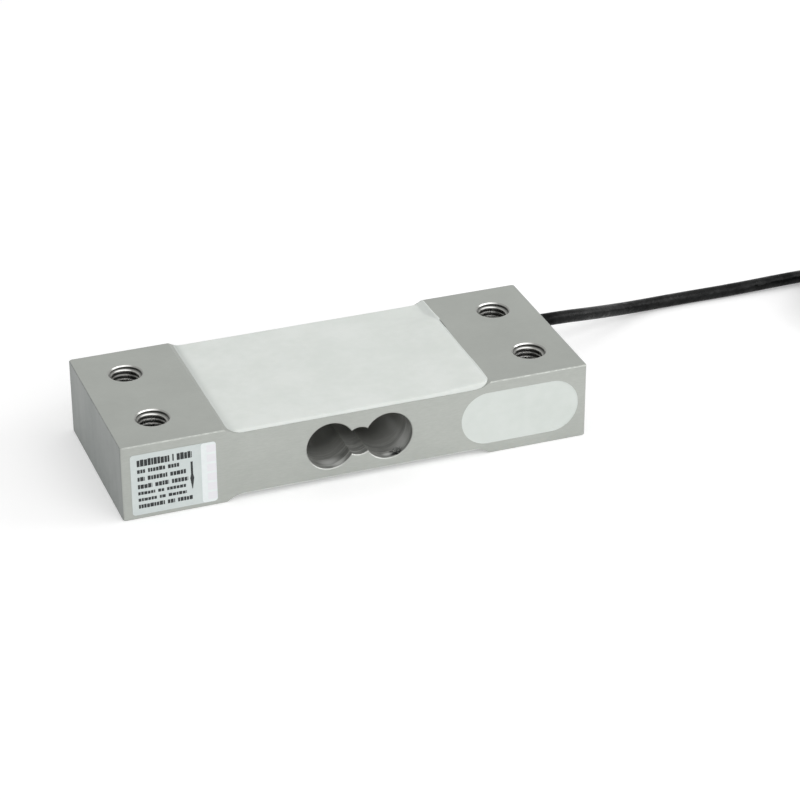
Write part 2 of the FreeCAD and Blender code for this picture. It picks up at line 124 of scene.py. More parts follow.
def make_camera():
    """Looks down on the labelled face and its left end, with a slight roll and shift."""
    a, e, r = (camera_azimuth, camera_elevation, camera_roll)
    back = Vector((math.sin(a) * math.cos(e), -math.cos(a) * math.cos(e), math.sin(e)))
    level = Vector((math.cos(a), math.sin(a), 0))
    above = back.cross(level)
    right = level * math.cos(r) + above * math.sin(r)
    up = above * math.cos(r) - level * math.sin(r)
    aim = Vector((0, 0, body_high.z / 2))
    place = aim + back * camera_distance + right * camera_right - up * camera_down
    data = bpy.data.cameras.new("camera")
    data.sensor_width = camera_sensor
    data.lens = camera_lens
    data.clip_start = 0.01
    camera = new_object("camera", data)
    turned = Matrix((right, up, back)).transposed().to_4x4()
    camera.matrix_world = Matrix.Translation(place) @ turned
    bpy.context.scene.camera = camera


def make_lamp(name, place, aim, width, height, power):
    data = bpy.data.lights.new(name, "AREA")
    data.shape = "RECTANGLE"
    data.size = width
    data.size_y = height
    data.energy = power
    lamp = new_object(name, data)
    lamp.location = place
    lamp.rotation_mode = "QUATERNION"
    lamp.rotation_quaternion = (Vector(aim) - Vector(place)).to_track_quat("-Z", "Y")


# ---- Node helpers and shared effects ----


class Graph:
    """Short calls for adding and linking nodes in a tree."""

    def __init__(self, tree):
        self.tree = tree

    def add(self, kind, settings=None, **sockets):
        node = self.tree.nodes.new(kind)
        for name, value in (settings or {}).items():
            setattr(node, name, value)
        for name, value in sockets.items():
            self.feed(node, name, value)
        return node

    def feed(self, node, name, value):
        """Puts a link or a constant on a socket, named by number (_0, _1) or by name with _ for spaces."""
        if name[1:].isdigit():
            socket = node.inputs[int(name[1:])]
        else:
            socket = node.inputs[name.replace("_", " ")]
        if isinstance(value, bpy.types.NodeSocket):
            self.tree.links.new(value, socket)
        else:
            socket.default_value = value

    def math(self, operation, a, b=0.0):
        return self.add("ShaderNodeMath", {"operation": operation}, _0=a, _1=b).outputs[0]

    def vector(self, operation, a, b=(0, 0, 0)):
        return self.add("ShaderNodeVectorMath", {"operation": operation}, _0=a, _1=b).outputs[0]

    def span(self, value, low, high, to_low=0.0, to_high=1.0):
        """The value's share of the way from low to high, eased, between two results."""
        settings = {"interpolation_type": "SMOOTHSTEP"}
        sockets = {"_0": value, "_1": low, "_2": high, "_3": to_low, "_4": to_high}
        return self.add("ShaderNodeMapRange", settings, **sockets).outputs[0]

    def mix(self, share, a, b):
        node = self.add("ShaderNodeMix", {"data_type": "RGBA"}, _0=share, _6=a, _7=b)
        return node.outputs[2]

    def noise(self, place, scale, detail=2.0, roughness=0.5):
        sockets = {"Vector": place, "Scale": scale, "Detail": detail, "Roughness": roughness}
        return self.add("ShaderNodeTexNoise", None, **sockets).outputs[0]

    def length(self, place):
        return self.add("ShaderNodeVectorMath", {"operation": "LENGTH"}, _0=place).outputs["Value"]

    def split(self, place):
        """The x, y and z of a vector."""
        return self.add("ShaderNodeSeparateXYZ", None, _0=place).outputs

    def product(self, *values):
        """All of these multiplied together."""
        made = values[0]
        for value in values[1:]:
            made = self.math("MULTIPLY", made, value)
        return made

    def group(self, tree, **sockets):
        node = self.add("ShaderNodeGroup", {"node_tree": tree})
        for name, value in sockets.items():
            self.feed(node, name, value)
        return node


def new_group(name, inputs, outputs):
    """An empty shader group with named sockets: its tree, its graph, its inputs and its output node."""
    tree = bpy.data.node_groups.new(name, "ShaderNodeTree")
    for label, kind, value in inputs:
        socket = tree.interface.new_socket(name=label, in_out="INPUT", socket_type="NodeSocket" + kind)
        if kind != "Vector":
            socket.default_value = value
    for label, kind in outputs:
        tree.interface.new_socket(name=label, in_out="OUTPUT", socket_type="NodeSocket" + kind)
    graph = Graph(tree)
    entry = tree.nodes.new("NodeGroupInput")
    end = tree.nodes.new("NodeGroupOutput")
    return tree, graph, entry.outputs, end


def make_cloud_group():
    """Soft, uneven patches from 0 to 1, at two sizes."""
    inputs = [("Place", "Vector", None), ("Patch Size", "Float", 0.01), ("Contrast", "Float", 0.5)]
    tree, g, given, end = new_group("cloud", inputs, [("Cloud", "Float")])
    scale = g.math("DIVIDE", 1.0, given["Patch Size"])
    broad = g.noise(given["Place"], scale, 3.0)
    fine = g.noise(given["Place"], g.math("MULTIPLY", scale, 5.3), 2.0)
    both = g.math("ADD", g.math("MULTIPLY", broad, 0.7), g.math("MULTIPLY", fine, 0.3))
    half = g.math("MULTIPLY", g.math("SUBTRACT", 1.0, given["Contrast"]), 0.35)
    cloud = g.span(both, g.math("ADD", half, 0.1), g.math("SUBTRACT", 0.9, half))
    g.feed(end, "Cloud", cloud)
    return tree


def make_grain_group():
    """Fine grain drawn out along one direction, as a cutter leaves it, for colour and for relief."""
    inputs = [("Place", "Vector", None), ("Stretch", "Vector", None), ("Grain Size", "Float", 0.0003)]
    tree, g, given, end = new_group("grain", inputs, [("Grain", "Float"), ("Broad Grain", "Float")])
    drawn = g.vector("MULTIPLY", given["Place"], given["Stretch"])
    scale = g.math("DIVIDE", 1.0, given["Grain Size"])
    g.feed(end, "Grain", g.noise(drawn, scale, 3.0, 0.65))
    g.feed(end, "Broad Grain", g.noise(drawn, g.math("MULTIPLY", scale, 0.13), 2.0))
    return tree


def make_speck_group():
    """Scattered small specks, such as dust, pits and nicks."""
    inputs = [("Place", "Vector", None), ("Spacing", "Float", 0.004), ("Speck Size", "Float", 0.0002)]
    inputs.append(("Share", "Float", 0.5))
    tree, g, given, end = new_group("specks", inputs, [("Specks", "Float")])
    scale = g.math("DIVIDE", 1.0, given["Spacing"])
    cells = g.add("ShaderNodeTexVoronoi", None, Vector=given["Place"], Scale=scale)
    radius = g.math("DIVIDE", given["Speck Size"], given["Spacing"])
    spot = g.span(cells.outputs["Distance"], g.math("MULTIPLY", radius, 0.5), radius, 1.0, 0.0)
    split = g.add("ShaderNodeSeparateColor", None, _0=cells.outputs["Color"])
    kept = g.math("LESS_THAN", split.outputs[0], given["Share"])
    g.feed(end, "Specks", g.math("MULTIPLY", spot, kept))
    return tree


def make_round_hole_group():
    """1 inside a round hole, the distance from its axis, and a mask for painted highlights at its +Y and -Y
    sides.

    Flatten is 0 along the hole's axis and 1 across it.
    """
    inputs = [("Place", "Vector", None), ("Centre", "Vector", None), ("Flatten", "Vector", None)]
    inputs += [("Radius", "Float", 0.005), ("Soft", "Float", 0.0001)]
    outputs = [("Inside", "Float"), ("Distance", "Float"), ("Glint", "Float")]
    tree, g, given, end = new_group("round_hole", inputs, outputs)
    offset = g.vector("MULTIPLY", g.vector("SUBTRACT", given["Place"], given["Centre"]), given["Flatten"])
    distance = g.length(offset)
    edge = g.math("ADD", given["Radius"], given["Soft"])
    g.feed(end, "Inside", g.span(distance, given["Radius"], edge, 1.0, 0.0))
    g.feed(end, "Distance", distance)
    side = g.math("ABSOLUTE", g.split(offset)[1])
    g.feed(end, "Glint", g.span(g.math("DIVIDE", side, distance), 0.72, 1.0))
    return tree


def make_edge_wear_group():
    """1 along the worn edges of a box, broken up by noise."""
    inputs = [("Place", "Vector", None), ("Centre", "Vector", None), ("Half Size", "Vector", None)]
    inputs += [("Width", "Float", 0.0004), ("Breakup", "Float", 0.5)]
    tree, g, given, end = new_group("edge_wear", inputs, [("Wear", "Float")])
    reach = g.vector("ABSOLUTE", g.vector("SUBTRACT", given["Place"], given["Centre"]))
    gap = g.vector("SUBTRACT", given["Half Size"], reach)
    x, y, z = [g.span(part, 0.0, given["Width"], 1.0, 0.0) for part in g.split(gap)]
    xy = g.math("MULTIPLY", x, y)
    yz = g.math("MULTIPLY", y, z)
    xz = g.math("MULTIPLY", x, z)
    edges = g.span(g.math("MAXIMUM", g.math("MAXIMUM", xy, yz), xz), 0.2, 0.6)
    patches = g.span(g.noise(given["Place"], 900.0, 2.0), 0.42, 0.62)
    left = g.math("SUBTRACT", 1.0, g.math("MULTIPLY", patches, given["Breakup"]))
    g.feed(end, "Wear", g.math("MULTIPLY", edges, left))
    return tree


cloud_group = make_cloud_group()
grain_group = make_grain_group()
speck_group = make_speck_group()
round_hole_group = make_round_hole_group()
edge_wear_group = make_edge_wear_group()


def srgb(*levels):
    """A colour from levels of 0 to 255, made linear."""
    shares = [level / 255 for level in levels]
    return (*[s / 12.92 if s < 0.04045 else ((s + 0.055) / 1.055) ** 2.4 for s in shares], 1.0)


class Finish:
    """A material with one Principled shader, its object coordinates and short calls for the rest."""

    def __init__(self, name, **constants):
        self.material = bpy.data.materials.new(name)
        self.material.use_nodes = True
        tree = self.material.node_tree
        tree.nodes.clear()
        self.g = Graph(tree)
        out = tree.nodes.new("ShaderNodeOutputMaterial")
        self.shader = self.g.add("ShaderNodeBsdfPrincipled", None, **constants)
        tree.links.new(self.shader.outputs[0], out.inputs["Surface"])
        self.place = self.g.add("ShaderNodeTexCoord").outputs["Object"]

    def cloud(self, size, contrast=0.5):
        given = {"Place": self.place, "Patch_Size": size, "Contrast": contrast}
        return self.g.group(cloud_group, **given).outputs[0]

    def grain(self, size, stretch=(1, 1, 1)):
        given = {"Place": self.place, "Stretch": stretch, "Grain_Size": size}
        return self.g.group(grain_group, **given).outputs

    def specks(self, spacing, size, share):
        given = {"Place": self.place, "Spacing": spacing, "Speck_Size": size, "Share": share}
        return self.g.group(speck_group, **given).outputs[0]

    def hole(self, centre, flatten, radius, soft):
        given = {"Place": self.place, "Centre": centre, "Flatten": flatten, "Radius": radius, "Soft": soft}
        return self.g.group(round_hole_group, **given).outputs

    def tapped_holes(self):
        """Masks over the four tapped holes: inside them, their painted highlights and the distance from their
        axes.
        """
        found = [0.0, 0.0, 0.0]
        for x in (load_hole_x, fixed_hole_x):
            for y in (-hole_y, hole_y):
                inside, distance, painted_glint = self.hole((x, y, 0), (1, 1, 0), mouth_r, 0.03 * MM)
                for i, value in enumerate((1.0, painted_glint, distance)):
                    found[i] = self.g.math("MAXIMUM", found[i], self.g.math("MULTIPLY", inside, value))
        return found

    def colour(self, value):
        self.g.feed(self.shader, "Base_Color", value)

    def roughness(self, value):
        self.g.feed(self.shader, "Roughness", value)

    def relief(self, height, depth, strength=1.0, sockets=("Normal",)):
        """Bump of a real depth in metres."""
        bump = self.g.add("ShaderNodeBump", None, Strength=strength, Distance=depth, Height=height)
        for socket in sockets:
            self.g.feed(self.shader, socket, bump.outputs[0])


def simple_finish(name, dark, light, roughness, patch=2 * MM, grain=0.25 * MM, depth=0.01 * MM, **more):
    """Colour between two tones in soft patches, uneven gloss and a fine grain."""
    f = Finish(name, **more)
    cloud = f.cloud(patch)
    f.colour(f.g.mix(cloud, srgb(*dark), srgb(*light)))
    f.roughness(f.g.span(cloud, 0.0, 1.0, roughness - 0.05, roughness + 0.05))
    f.relief(f.grain(grain)[0], depth)
    return f.material


# ---- Finishes ----


def milled_tone(f, x, y, z, cloud, grain):
    """Milled faces, with painted shade that makes the top and bottom darker than the sides, and sawn ends,
    darker partly from their finish and partly from painted shade, with the ends' mask.
    """
    g = f.g
    half_height = body_high.z / 2
    from_middle = g.math("ABSOLUTE", g.math("SUBTRACT", z, half_height))
    flat = g.span(from_middle, half_height - 2.6 * MM, half_height - 2.5 * MM)
    off_sides = g.span(g.math("ABSOLUTE", y), half_width - 0.3 * MM, half_width - 0.25 * MM, 1.0, 0.0)
    side_tone = g.mix(cloud, srgb(175, 178, 173), srgb(182, 185, 180))
    # Painted shade: the top and bottom faces get a darker tone than the sides
    painted_shade_flat_tone = g.mix(cloud, srgb(159, 162, 157), srgb(166, 169, 164))
    tone = g.mix(g.product(flat, off_sides), side_tone, painted_shade_flat_tone)
    tone = g.mix(g.span(grain, 0.3, 0.7, 0.0, 0.25), tone, srgb(152, 155, 150))
    sawn = g.span(g.math("ABSOLUTE", x), body_high.x - 0.35 * MM, body_high.x - 0.1 * MM)
    streaks = f.grain(0.5 * MM, (1.0, 1.0, 0.12))[1]
    # The sawn ends are darker: partly their own rough finish, partly painted shade
    sawn_and_shaded_tone = g.mix(g.span(streaks, 0.25, 0.75), srgb(137, 141, 139), srgb(145, 148, 146))
    return g.mix(sawn, tone, sawn_and_shaded_tone), sawn


# Marks inside the bores, in mm: a smear of grime, and painted highlights and pools of light as (x, y, z,
# radius, strength)
bore_grime = (12.3, -28.0, 5.4)
painted_bore_highlights = [
    (9.5, -27.8, 4.8, 0.9, 1.0),
    (-8.6, -26.2, 4.8, 1.8, 0.85),
    (-6.4, -28.4, 5.3, 1.3, 1.0),
    (15.2, -25.6, 8.0, 2.8, 0.6),
    (14.2, -19.0, 6.8, 6.0, 0.3),
    (-5.0, -20.0, 6.2, 4.0, 0.22),
]


def ringed_bores(f, y):
    """The bores and the neck: their mask, their tone with painted shade further in and painted highlights
    near the mouths, and the cutter's rings.
    """
    g = f.g
    from_middle = g.math("ABSOLUTE", y)
    bores = 0.0
    for bore, r in ((-bore_x, bore_r), (0.0, neck_r), (bore_x, bore_r)):
        wall = f.hole((bore, 0, bore_z), (1, 0, 1), r + 0.16 * MM, 0.06 * MM)[0]
        bores = g.math("MAXIMUM", bores, wall)
    bores = g.product(bores, g.span(from_middle, half_width - 0.25 * MM, half_width - 0.1 * MM, 1.0, 0.0))
    near_mouth = g.span(from_middle, half_width - 16 * MM, half_width)
    # Painted shade: the walls turn darker further into the bores
    tone = g.mix(near_mouth, srgb(126, 127, 122), srgb(186, 187, 183))
    broad_rings = f.grain(0.22 * MM, (0.04, 1.0, 0.04))[1]
    ringed = g.product(g.span(broad_rings, 0.35, 0.65), near_mouth, 0.6)
    tone = g.mix(ringed, tone, srgb(104, 105, 102))
    # Pale streaks along the cutter's marks near the mouths: real marks, painted bright as highlights
    streaked = g.span(f.grain(0.55 * MM, (0.06, 1.0, 0.06))[0], 0.5, 0.64)
    tone = g.mix(g.product(streaked, near_mouth, 0.6), tone, srgb(240, 241, 237))
    tone = g.mix(g.span(f.cloud(6 * MM, 0.6), 0.2, 1.0, 0.0, 0.4), tone, srgb(120, 121, 118))
    grime = f.hole(Vector(bore_grime) * MM, (1, 1, 1), 1.5 * MM, 1.2 * MM)[0]
    grime = g.product(grime, g.span(g.noise(f.place, 1500.0, 3.0), 0.4, 0.5))
    tone = g.mix(grime, tone, srgb(26, 28, 26))
    # Painted highlights and pools of light on the bore walls, at the listed places
    painted_highlights = 0.0
    for *middle, r, strength in painted_bore_highlights:
        spot = f.hole(Vector(middle) * MM, (0.6, 1, 0.6), 0.2 * r * MM, 1.4 * r * MM)[0]
        painted_highlights = g.math("MAXIMUM", painted_highlights, g.product(spot, strength))
    return bores, g.mix(painted_highlights, tone, srgb(250, 251, 248)), ringed


def body_finish():
    """Clear anodised aluminium: milled faces, sawn ends, ringed bores and worn edges, with painted highlights
    and shade in the bores and tapped holes and a painted shadow line beside the silicone.
    """
    f = Finish("body_aluminium", IOR=1.5, Specular_IOR_Level=0.5)
    g = f.g
    x, y, z = g.split(f.place)
    cloud = f.cloud(22 * MM, 0.4)
    grain = f.grain(0.22 * MM, (0.12, 1.0, 1.0))[0]
    tone, sawn = milled_tone(f, x, y, z, cloud, grain)

    centre = (body_low + body_high) / 2
    box = {"Place": f.place, "Centre": centre, "Half_Size": (body_high - body_low) / 2}
    wear = g.group(edge_wear_group, Width=0.42 * MM, Breakup=0.85, **box).outputs[0]
    tone = g.mix(g.product(wear, 0.3), tone, srgb(146, 149, 145))
    nicks = f.specks(5 * MM, 0.12 * MM, 0.25)
    tone = g.mix(g.product(nicks, 0.35), tone, srgb(120, 121, 120))
    # A painted shadow: a thin dark line on the pad along the silicone's thick edge
    beside_silicone = Vector((relief_half + 0.3 * MM, 11.6 * MM, body_high.z))
    painted_shadow_line = f.hole(beside_silicone, (1, 0.06, 0), 0.1 * MM, 0.14 * MM)[0]
    tone = g.mix(g.product(painted_shadow_line, 0.8), tone, srgb(84, 86, 83))

    # The bores' tone carries painted shade and painted highlights
    bores, bore_tone_with_painted_light, ringed = ringed_bores(f, y)
    tone = g.mix(bores, tone, bore_tone_with_painted_light)
    g.feed(f.shader, "Metallic", g.math("SUBTRACT", 0.9, g.product(bores, 0.5)))

    # Painted light in the tapped holes: highlights on the mouths towards +Y and -Y, darker mouth sides, and
    # painted shade on the walls inside
    threads, painted_glint, from_axis = f.tapped_holes()
    painted_mouth_tone = g.mix(painted_glint, srgb(150, 151, 147), srgb(244, 244, 241))
    painted_shade_wall_tone = srgb(112, 113, 110)
    painted_mouth_tone = g.mix(g.span(from_axis, 5.02 * MM, 5.12 * MM), painted_shade_wall_tone, painted_mouth_tone)
    f.colour(g.mix(threads, tone, painted_mouth_tone))

    rough = g.math("ADD", g.span(cloud, 0.0, 1.0, 0.40, 0.46), g.product(sawn, 0.08))
    rough = g.math("SUBTRACT", rough, g.product(threads, 0.14))
    f.roughness(g.math("ADD", rough, g.product(wear, 0.35)))
    f.relief(g.math("ADD", grain, g.product(ringed, bores, 4.0)), 0.004 * MM)
    return f.material


def thread_finish():
    """Freshly cut metal, with painted highlights on the crests towards +Y and -Y and painted shade in the
    grooves.
    """
    f = Finish("thread_metal", Metallic=0.9, IOR=1.5)
    g = f.g
    painted_glint, from_axis = f.tapped_holes()[1:]
    cloud = f.cloud(3 * MM, 0.4)
    # Painted highlights on the crests, and painted shade deeper in the grooves
    painted_crest = g.mix(painted_glint, g.mix(cloud, srgb(136, 137, 133), srgb(158, 158, 154)), srgb(248, 248, 245))
    f.colour(g.mix(g.span(from_axis, 4.4 * MM, 4.85 * MM), painted_crest, srgb(106, 107, 104)))
    f.roughness(g.span(cloud, 0.0, 1.0, 0.26, 0.34))
    f.relief(f.grain(0.4 * MM, (1, 1, 2.5))[0], 0.004 * MM)
    return f.material


def silicone_finish(name, dark, light):
    """White silicone, matt to satin, with slow waves and pits, greyer where it thins out over metal."""
    f = Finish(name, Subsurface_Weight=0.12, Subsurface_Scale=1.2 * MM, IOR=1.41)
    g = f.g
    f.shader.inputs["Subsurface Radius"].default_value = (1.0, 0.95, 0.85)
    cloud = f.cloud(16 * MM, 0.35)
    dust = f.specks(6 * MM, 0.14 * MM, 0.2)
    tone = g.mix(cloud, srgb(*dark), srgb(*light))
    x, y = g.split(f.place)[:2]
    near_end = g.span(x, silicone_left, silicone_left + 4.6 * MM, 1.0, 0.0)
    metal_shows = g.span(y, -0.6 * half_width, 0.6 * half_width, 0.35, 0.52)
    thin = g.product(g.math("POWER", near_end, 2.5), metal_shows)
    tone = g.mix(thin, tone, srgb(154, 159, 155))
    f.colour(g.mix(g.product(dust, 0.25), tone, srgb(176, 178, 172)))
    f.roughness(g.span(cloud, 0.0, 1.0, 0.40, 0.52))
    waves = g.product(g.noise(f.place, 120.0, 2.0), 0.8)
    pits = g.product(f.specks(3.2 * MM, 0.16 * MM, 0.3), -0.25)
    f.relief(g.math("ADD", waves, pits), 0.12 * MM, 0.6)
    return f.material


def jacket_finish():
    """Black extruded jacket, lumpy over its braid, with patches of sheen that start past the bush."""
    f = Finish("cable_jacket", IOR=1.5, Specular_IOR_Level=0.05, Coat_Roughness=0.24)
    g = f.g
    cloud = f.cloud(5 * MM, 0.5)
    f.colour(g.mix(cloud, srgb(5, 6, 6), srgb(13, 14, 14)))
    f.roughness(g.span(cloud, 0.0, 1.0, 0.24, 0.4))
    start = g.span(g.split(f.place)[0], bush_high.x + 3 * MM, bush_high.x + 20 * MM, 0.12, 1.0)
    sheen = g.span(f.cloud(7 * MM, 0.8), 0.1, 0.9, 0.05, 0.36)
    g.feed(f.shader, "Coat_Weight", g.product(start, sheen))
    lumps = g.product(g.noise(f.place, 210.0, 2.0, 0.55), 0.85)
    fine = g.product(f.grain(0.5 * MM)[0], 0.15)
    f.relief(g.math("ADD", lumps, fine), 1.0 * MM, 0.7, ("Normal", "Coat_Normal"))
    return f.material


def label_finish():
    """Pale polyester film with a barely seen mottle."""
    f = Finish("label_film", IOR=1.46, Coat_Weight=0.25, Coat_Roughness=0.25)
    g = f.g
    cloud = f.cloud(3.5 * MM, 0.5)
    f.colour(g.mix(cloud, srgb(206, 214, 213), srgb(214, 221, 219)))
    f.roughness(g.span(cloud, 0.0, 1.0, 0.32, 0.42))
    f.relief(g.noise(f.place, 500.0, 1.0), 0.02 * MM, 0.5)
    return f.material


def rays_that_see_white(g):
    """1 for camera, glossy and transmission rays, which see the white backdrop, and 0 for the rest."""
    path = g.add("ShaderNodeLightPath").outputs
    seen = g.math("MAXIMUM", path["Is Camera Ray"], path["Is Glossy Ray"])
    return g.math("MAXIMUM", seen, path["Is Transmission Ray"])


def floor_finish():
    """A white floor that keeps the part's shadow and shows white to the camera and in gloss."""
    f = Finish("floor_white", Roughness=0.9, Specular_IOR_Level=0.1)
    g = f.g
    f.colour(srgb(236, 236, 236))
    lift = g.span(g.length(f.place), 0.2, 1.4, 0.28, 0.62)
    g.feed(f.shader, "Emission_Color", (1, 1, 1, 1))
    g.feed(f.shader, "Emission_Strength", g.product(rays_that_see_white(g), lift))
    return f.material


def make_world():
    """A plain world: soft light all round, and white where it is seen."""
    world = bpy.data.worlds.new("studio")
    world.use_nodes = True
    tree = world.node_tree
    tree.nodes.clear()
    g = Graph(tree)
    strength = g.span(rays_that_see_white(g), 0.0, 1.0, world_light, 1.0)
    back = g.add("ShaderNodeBackground", None, Color=(1, 1, 1, 1), Strength=strength)
    out = tree.nodes.new("ShaderNodeOutputWorld")
    tree.links.new(back.outputs[0], out.inputs["Surface"])
    bpy.context.scene.world = world


# Simple finishes: a dark tone, a light tone, the roughness, and what differs from the usual one
printed = {"patch": 1.2 * MM, "grain": 0.1 * MM, "depth": 0.003 * MM}
rubber = {"patch": 3 * MM, "grain": 0.2 * MM, "depth": 0.02 * MM}
metal = {"Metallic": 1.0}
simple_finishes = {
    "label_strip": ((233, 239, 239), (239, 244, 244), 0.35, printed),
    "label_ink": ((22, 25, 26), (44, 48, 49), 0.5, printed),
    "label_tint": ((234, 234, 238), (238, 237, 240), 0.35, printed),
    "carrier_film": ((196, 122, 30), (214, 142, 44), 0.2, {}),
    "gauge_foil": ((170, 160, 140), (205, 196, 178), 0.3, metal),
    "strip_laminate": ((186, 150, 70), (204, 168, 88), 0.5, {}),
    "tinned_copper": ((176, 176, 172), (214, 214, 210), 0.28, {"patch": 0.6 * MM, **metal}),
    "enamelled_wire": ((140, 52, 18), (168, 70, 28), 0.25, {}),
    "board_laminate": ((12, 74, 40), (20, 92, 52), 0.4, {}),
    "chip_body": ((18, 18, 20), (30, 30, 32), 0.3, {}),
    "insulation_red": ((168, 20, 18), (190, 30, 26), 0.38, {}),
    "insulation_black": ((16, 16, 17), (28, 28, 29), 0.38, {}),
    "insulation_green": ((16, 104, 42), (26, 124, 54), 0.38, {}),
    "insulation_white": ((222, 222, 217), (236, 236, 231), 0.38, {}),
    "bush_rubber": ((20, 20, 21), (32, 32, 33), 0.55, rubber),
    "ferrule_metal": ((160, 160, 158), (196, 196, 193), 0.3, metal),
    "shield_braid": ((150, 144, 136), (190, 184, 176), 0.35, {"patch": 0.5 * MM, **metal}),
    "tie_ribbon": ((22, 22, 24), (36, 36, 38), 0.36, {"grain": 0.3 * MM, "depth": 0.02 * MM}),
    "shrink_sleeve": ((16, 16, 17), (28, 28, 29), 0.3, {"grain": 0.4 * MM, "depth": 0.03 * MM}),
}

finishes = {
    "body_aluminium": body_finish(),
    "thread": thread_finish(),
    "sealant_silicone": silicone_finish("sealant_silicone", (215, 220, 215), (223, 227, 223)),
    "potting_silicone": silicone_finish("potting_silicone", (213, 219, 214), (220, 225, 221)),
    "label_film": label_finish(),
    "cable_jacket": jacket_finish(),
    "floor_white": floor_finish(),
}
for name, (dark, light, roughness, more) in simple_finishes.items():
    finishes[name] = simple_finish(name, dark, light, roughness, **more)

for part in frame["record"]["subparts"]:
    for held in frame["nodes"][part["node"]].material_slots:
        held.material = finishes[part["material_slot"]]

# ---- Mesh helpers ----


def mesh_piece(name, points, faces, finish, smooth=True):
    mesh = bpy.data.meshes.new(name)
    mesh.from_pydata([tuple(p) for p in points], [], faces)
    mesh.validate()
    mesh.materials.append(finishes[finish])
    for face in mesh.polygons:
        face.use_smooth = smooth
    return new_object(name, mesh)


def soften(piece, angle=35):
    """Keeps edges sharper than the angle crisp, and the rest smooth."""
    limit = math.radians(angle)
    mesh = piece.data
    mesh.update()
    normals = [face.normal.copy() for face in mesh.polygons]
    sides = {}
    for index, face in enumerate(mesh.polygons):
        for key in face.edge_keys:
            sides.setdefault(key, []).append(index)
    for edge in mesh.edges:
        pair = sides.get(edge.key, [])
        if len(pair) == 2 and normals[pair[0]].angle(normals[pair[1]], 0) > limit:
            edge.use_edge_sharp = True
    return piece


def bridge(rings, closed_path=False):
    """Points and faces of a skin over rings of equal size, with caps unless its path is closed."""
    count = len(rings[0])
    points = [p for ring in rings for p in ring]
    faces = []
    last = len(rings) if closed_path else len(rings) - 1
    for i in range(last):
        a, b = (i * count, (i + 1) % len(rings) * count)
        for j in range(count):
            k = (j + 1) % count
            faces.append((a + j, a + k, b + k, b + j))
    if not closed_path:
        faces.append(tuple(reversed(range(count))))
        end = (len(rings) - 1) * count
        faces.append(tuple(range(end, end + count)))
    return points, faces


def axes_about(along):
    """Two directions square to this one."""
    along = Vector(along).normalized()
    side = Vector((0, 0, 1)) if abs(along.z) < 0.9 else Vector((1, 0, 0))
    first = along.cross(side).normalized()
    return first, along.cross(first)


def spokes(along, count):
    """Directions all round an axis, square to it."""
    first, second = axes_about(along)
    angles = [FULL * i / count for i in range(count)]
    return [first * math.cos(a) + second * math.sin(a) for a in angles]


def turned_piece(name, profile, origin, along, finish, count=64):
    """A solid of revolution. profile holds (radius, distance along the axis)."""
    along = Vector(along).normalized()
    origin = Vector(origin)
    rings = [[origin + along * far + out * r for out in spokes(along, count)] for r, far in profile]
    points, faces = bridge(rings)
    return soften(mesh_piece(name, points, faces, finish))


def turned_ring(name, profile, origin, along, finish, count=64):
    """As turned_piece, for a closed profile round a hole."""
    along = Vector(along).normalized()
    origin = Vector(origin)
    rings = [[origin + along * far + out * r for r, far in profile] for out in spokes(along, count)]
    points, faces = bridge(rings, closed_path=True)
    return soften(mesh_piece(name, points, faces, finish))


def nurbs_curve(name, routes, diameter, finish, sides=6):
    """Smooth round strands along lists of control points."""
    data = bpy.data.curves.new(name, "CURVE")
    data.dimensions = "3D"
    data.resolution_u = 8
    data.bevel_depth = diameter / 2
    data.bevel_resolution = sides
    data.use_fill_caps = True
    for route in routes:
        spline = data.splines.new("NURBS")
        spline.points.add(len(route) - 1)
        for point, place in zip(spline.points, route):
            point.co = (*place, 1.0)
        spline.order_u = 3
        spline.use_endpoint_u = True
    data.materials.append(finishes[finish])
    return new_object(name, data)


def centreline(curve):
    """Points along a curve, in order, as it is drawn."""
    plain = curve.copy()
    plain.data = curve.data.copy()
    plain.data.bevel_depth = 0
    bpy.context.scene.collection.objects.link(plain)
    bpy.context.view_layer.update()
    seen = plain.evaluated_get(bpy.context.evaluated_depsgraph_get())
    mesh = bpy.data.meshes.new_from_object(seen)
    line = [v.co.copy() for v in mesh.vertices]
    bpy.data.meshes.remove(mesh)
    bpy.data.objects.remove(plain)
    return line


# ---- Cable: its free run, the coil and the end on top of it ----

exit_place = Vector((bush_high.x, (bush_low.y + bush_high.y) / 2, (bush_low.z + bush_high.z) / 2))
cable_x, cable_y, cable_z = exit_place
turn_pitch = 4.4 * MM
layer_low = coil_base + turn_pitch / 2
layer_high = layer_low + turn_pitch
coil_top = layer_high + cable_r
coil_centre = Vector((215.0, 10.0, 0.0)) * MM
outer_turn_r = 31.5 * MM
turn_radii = [outer_turn_r - turn_pitch * i for i in range(4)]
lane_y = coil_centre.y + outer_turn_r
turn_points = 18
step_share = 40 / 360
tail_r = 24.9 * MM
tail_z = layer_high + 3.95 * MM
tail_end_angle = 86.0
tail_points = 6
sleeve_length = 9.0 * MM
lead_d = 1.0 * MM
lead_sweep = 60.0

# The tail climbs off the last turn in three points: how far inwards in mm, and the share of the climb
climb = ((0.0, 0.35), (0.3, 0.8), (1.4, 1.0))
climb_step = 14.0

run_route = [
    (cable_x, cable_y, cable_z),
    (89.0 * MM, cable_y, cable_z),
    (101.0 * MM, 28.5 * MM, 10.1 * MM),
    (113.6 * MM, 35.4 * MM, 5.9 * MM),
    (126.0 * MM, 40.9 * MM, 2.7 * MM),
    (140.0 * MM, 42.1 * MM, 2.2 * MM),
    (161.0 * MM, 41.9 * MM, 2.15 * MM),
    (182.0 * MM, lane_y, layer_low),
    (197.0 * MM, lane_y, layer_low),
]


def eased(share):
    share = min(max(share, 0.0), 1.0)
    return share * share * (3 - 2 * share)


def about_coil(r, angle, z):
    a = math.radians(angle)
    return Vector((coil_centre.x + r * math.cos(a), coil_centre.y + r * math.sin(a), z))


